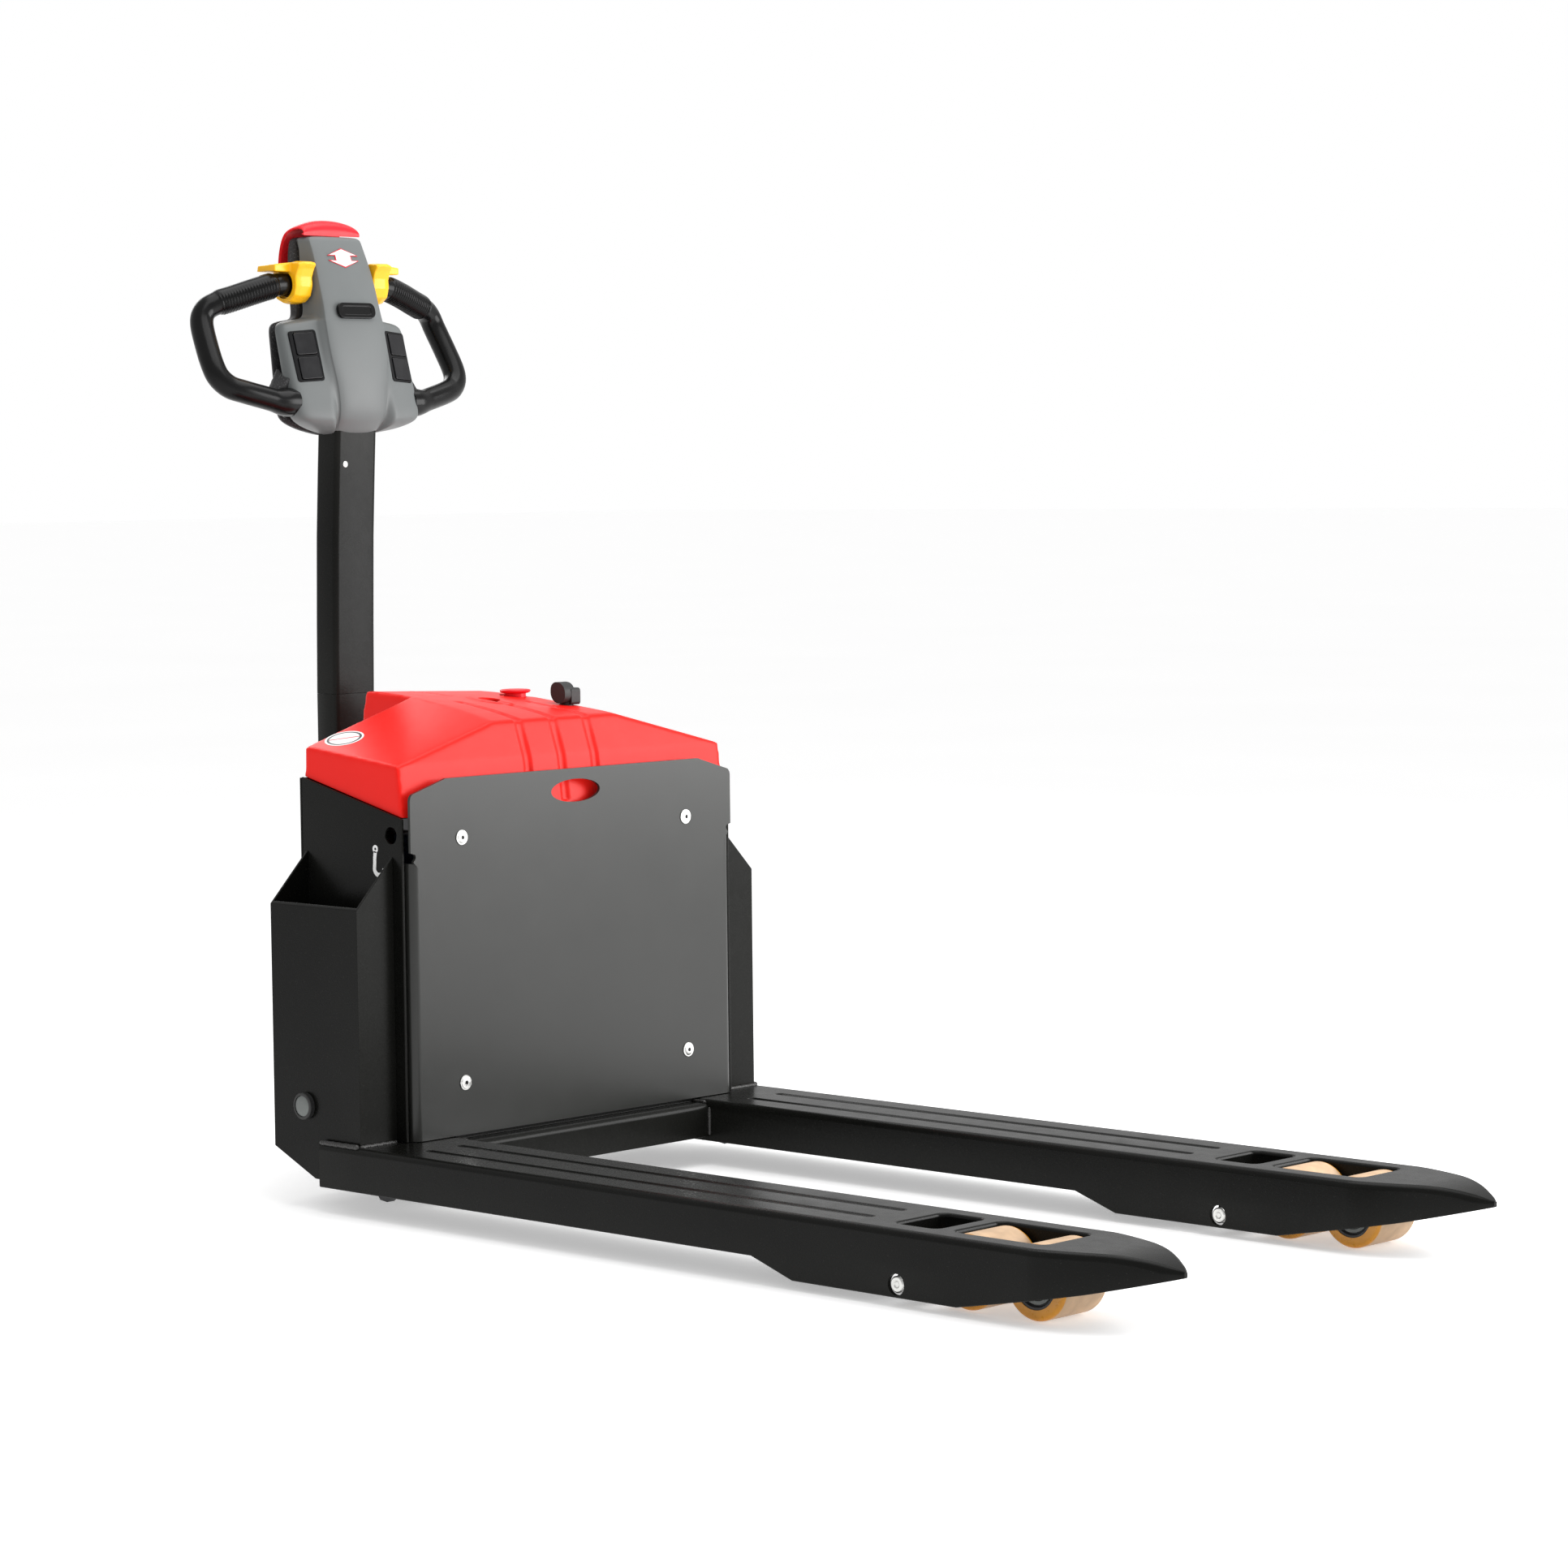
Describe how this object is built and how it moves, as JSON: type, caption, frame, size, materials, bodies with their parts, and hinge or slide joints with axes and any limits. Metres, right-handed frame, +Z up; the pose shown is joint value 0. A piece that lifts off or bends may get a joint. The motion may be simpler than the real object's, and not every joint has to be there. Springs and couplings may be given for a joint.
{
  "type": "pallet jack",
  "caption": "Powered walkie pallet jack: two channel forks with tandem load rollers, sheet steel body, moulded cover and an upright tiller with closed hand loops.",
  "frame": {"origin": "centre of the bounding box in X and Y, on the floor the wheels stand on", "axes": "+X along the forks towards the tips, +Y across the forks to the left when looking towards the tips, +Z up"},
  "size_m": [1.637, 0.685, 1.189],
  "materials": {
    "frame_paint": "satin powder coat",
    "plate_paint": "satin powder coat",
    "cover_plastic": "fine texture",
    "head_plastic": "fine texture",
    "dark_plastic": "fine texture",
    "button_plastic": "semi-gloss",
    "red_plastic": "semi-gloss",
    "yellow_plastic": "semi-gloss",
    "handle_plastic": "gloss",
    "display_glass": "gloss window",
    "zinc": "zinc plated",
    "cast_metal": "painted casting",
    "steel_rod": "ground",
    "polyurethane": "satin",
    "wheel_rubber": "matt",
    "battery_case": "matt",
    "black_rubber": "matt"
  },
  "bodies": {
    "chassis": {"fork_left": "frame_paint", "fork_right": "frame_paint", "arm_pin_left": "zinc", "arm_pin_right": "zinc", "side_panel_left": "frame_paint", "side_panel_right": "frame_paint", "side_pocket_left": "frame_paint", "side_pocket_right": "frame_paint", "cross_member": "frame_paint", "front_plate": "plate_paint", "plate_bolt_1": "zinc", "plate_bolt_2": "zinc", "plate_bolt_3": "zinc", "plate_bolt_4": "zinc", "rear_bulkhead": "frame_paint", "battery_tray": "frame_paint", "battery_pack": "battery_case", "motor_controller": "cast_metal", "battery_charger": "cast_metal", "hydraulic_pump": "frame_paint", "lift_crossbeam": "frame_paint", "top_cover": "cover_plastic"},
    "drive_base": {"drive_frame": "frame_paint", "lift_cylinder": "frame_paint", "slewing_ring": "steel_rod"},
    "steer_unit": {"gearbox_housing": "cast_metal", "drive_motor": "cast_metal", "wheel_guard": "dark_plastic", "tiller_bracket": "cast_metal", "tiller_pin": "zinc"},
    "drive_wheel": {"drive_hub": "cast_metal", "drive_tyre": "wheel_rubber"},
    "tiller": {"tiller_base": "dark_plastic", "tiller_tube": "frame_paint", "head_front_shell": "head_plastic", "head_rear_shell": "dark_plastic", "handle_loop_left": "handle_plastic", "handle_loop_right": "handle_plastic", "battery_display": "display_glass"},
    "throttle": {"thumb_throttle_left": "yellow_plastic", "thumb_throttle_right": "yellow_plastic"},
    "safety_cap": {"belly_button": "red_plastic"},
    "raise_key": {"raise_button": "button_plastic"},
    "horn_key": {"horn_button": "button_plastic"},
    "lower_key": {"lower_button": "button_plastic"},
    "slow_key": {"slow_button": "button_plastic"},
    "stop_knob": {"emergency_stop": "red_plastic"},
    "key_barrel": {"key_switch": "button_plastic"},
    "plug": {"charger_plug": "black_rubber"},
    "rocker": {"rocker_shaft": "cast_metal"},
    "rod_left": {"push_rod_left": "cast_metal"},
    "arm_left": {"roller_arm_left": "cast_metal"},
    "tandem_left": {"bogie_left": "zinc"},
    "roller_left_front": {"load_roller_left_front": "polyurethane"},
    "roller_left_rear": {"load_roller_left_rear": "polyurethane"},
    "rod_right": {"push_rod_right": "cast_metal"},
    "arm_right": {"roller_arm_right": "cast_metal"},
    "tandem_right": {"bogie_right": "zinc"},
    "roller_right_front": {"load_roller_right_front": "polyurethane"},
    "roller_right_rear": {"load_roller_right_rear": "polyurethane"}
  },
  "joints": [
    {"name": "lift", "type": "slide", "parent": "chassis", "child": "drive_base", "axis": [0, 0, -1], "range_m": [0, 0.105]},
    {"name": "steering", "type": "hinge", "parent": "drive_base", "child": "steer_unit", "pos_m": [-0.5715, 0, 0.258], "axis": [0, 0, 1], "range_deg": [-90, 90]},
    {"name": "drive_wheel_spin", "type": "hinge", "parent": "steer_unit", "child": "drive_wheel", "pos_m": [-0.5715, -0.012, 0.105], "axis": [0, 1, 0], "continuous": true},
    {"name": "tiller_tilt", "type": "hinge", "parent": "steer_unit", "child": "tiller", "pos_m": [-0.7525, 0, 0.33], "axis": [0, -1, 0], "range_deg": [0, 80]},
    {"name": "throttle_turn", "type": "hinge", "parent": "tiller", "child": "throttle", "pos_m": [-0.7675, 0, 1.108], "axis": [0, 1, 0], "range_deg": [-20, 20], "stiffness_Nm_per_rad": 0.8},
    {"name": "safety_cap_press", "type": "slide", "parent": "tiller", "child": "safety_cap", "axis": [1, 0, 0], "range_m": [0, 0.005], "stiffness_N_per_m": 900, "springref_m": -0.004},
    {"name": "raise_press", "type": "slide", "parent": "tiller", "child": "raise_key", "axis": [-1, 0, 0], "range_m": [0, 0.002], "stiffness_N_per_m": 600, "springref_m": -0.002},
    {"name": "horn_press", "type": "slide", "parent": "tiller", "child": "horn_key", "axis": [-1, 0, 0], "range_m": [0, 0.002], "stiffness_N_per_m": 600, "springref_m": -0.002},
    {"name": "lower_press", "type": "slide", "parent": "tiller", "child": "lower_key", "axis": [-1, 0, 0], "range_m": [0, 0.002], "stiffness_N_per_m": 600, "springref_m": -0.002},
    {"name": "slow_press", "type": "slide", "parent": "tiller", "child": "slow_key", "axis": [-1, 0, 0], "range_m": [0, 0.002], "stiffness_N_per_m": 600, "springref_m": -0.002},
    {"name": "stop_press", "type": "slide", "parent": "chassis", "child": "stop_knob", "axis": [0, 0, -1], "range_m": [0, 0.003]},
    {"name": "key_turn", "type": "hinge", "parent": "chassis", "child": "key_barrel", "pos_m": [-0.4815, 0, 0.575], "axis": [0, 0, -1], "range_deg": [0, 60]},
    {"name": "plug_pull", "type": "slide", "parent": "chassis", "child": "plug", "axis": [0, 0, 1], "range_m": [0, 0.04]},
    {"name": "rocker_turn", "type": "hinge", "parent": "chassis", "child": "rocker", "pos_m": [-0.3465, 0, 0.057], "axis": [0, -1, 0], "range_deg": [0, 59.05]},
    {"name": "rod_turn_left", "type": "hinge", "parent": "rocker", "child": "rod_left", "pos_m": [-0.36324, 0.2725, 0.02741], "axis": [0, 1, 0], "range_deg": [0, 59.05]},
    {"name": "arm_turn_left", "type": "hinge", "parent": "chassis", "child": "arm_left", "pos_m": [0.4915, 0.2725, 0.024], "axis": [0, 1, 0], "range_deg": [0, 59.05]},
    {"name": "tandem_level_left", "type": "hinge", "parent": "arm_left", "child": "tandem_left", "pos_m": [0.605, 0.2725, 0.04], "axis": [0, 1, 0], "range_deg": [-59.05, 0]},
    {"name": "roller_spin_left_front", "type": "hinge", "parent": "tandem_left", "child": "roller_left_front", "pos_m": [0.6505, 0.2725, 0.04], "axis": [0, 1, 0], "continuous": true},
    {"name": "roller_spin_left_rear", "type": "hinge", "parent": "tandem_left", "child": "roller_left_rear", "pos_m": [0.5595, 0.2725, 0.04], "axis": [0, 1, 0], "continuous": true},
    {"name": "rod_turn_right", "type": "hinge", "parent": "rocker", "child": "rod_right", "pos_m": [-0.36324, -0.2725, 0.02741], "axis": [0, 1, 0], "range_deg": [0, 59.05]},
    {"name": "arm_turn_right", "type": "hinge", "parent": "chassis", "child": "arm_right", "pos_m": [0.4915, -0.2725, 0.024], "axis": [0, 1, 0], "range_deg": [0, 59.05]},
    {"name": "tandem_level_right", "type": "hinge", "parent": "arm_right", "child": "tandem_right", "pos_m": [0.605, -0.2725, 0.04], "axis": [0, 1, 0], "range_deg": [-59.05, 0]},
    {"name": "roller_spin_right_front", "type": "hinge", "parent": "tandem_right", "child": "roller_right_front", "pos_m": [0.6505, -0.2725, 0.04], "axis": [0, 1, 0], "continuous": true},
    {"name": "roller_spin_right_rear", "type": "hinge", "parent": "tandem_right", "child": "roller_right_rear", "pos_m": [0.5595, -0.2725, 0.04], "axis": [0, 1, 0], "continuous": true}
  ],
  "couplings": [
    {"joint": "rocker_turn", "follows": "lift", "rad_per_m": 9.8071},
    {"joint": "rod_turn_left", "follows": "lift", "rad_per_m": 9.8071},
    {"joint": "arm_turn_left", "follows": "lift", "rad_per_m": 9.8071},
    {"joint": "tandem_level_left", "follows": "lift", "rad_per_m": -9.8071},
    {"joint": "rod_turn_right", "follows": "lift", "rad_per_m": 9.8071},
    {"joint": "arm_turn_right", "follows": "lift", "rad_per_m": 9.8071},
    {"joint": "tandem_level_right", "follows": "lift", "rad_per_m": -9.8071}
  ]
}
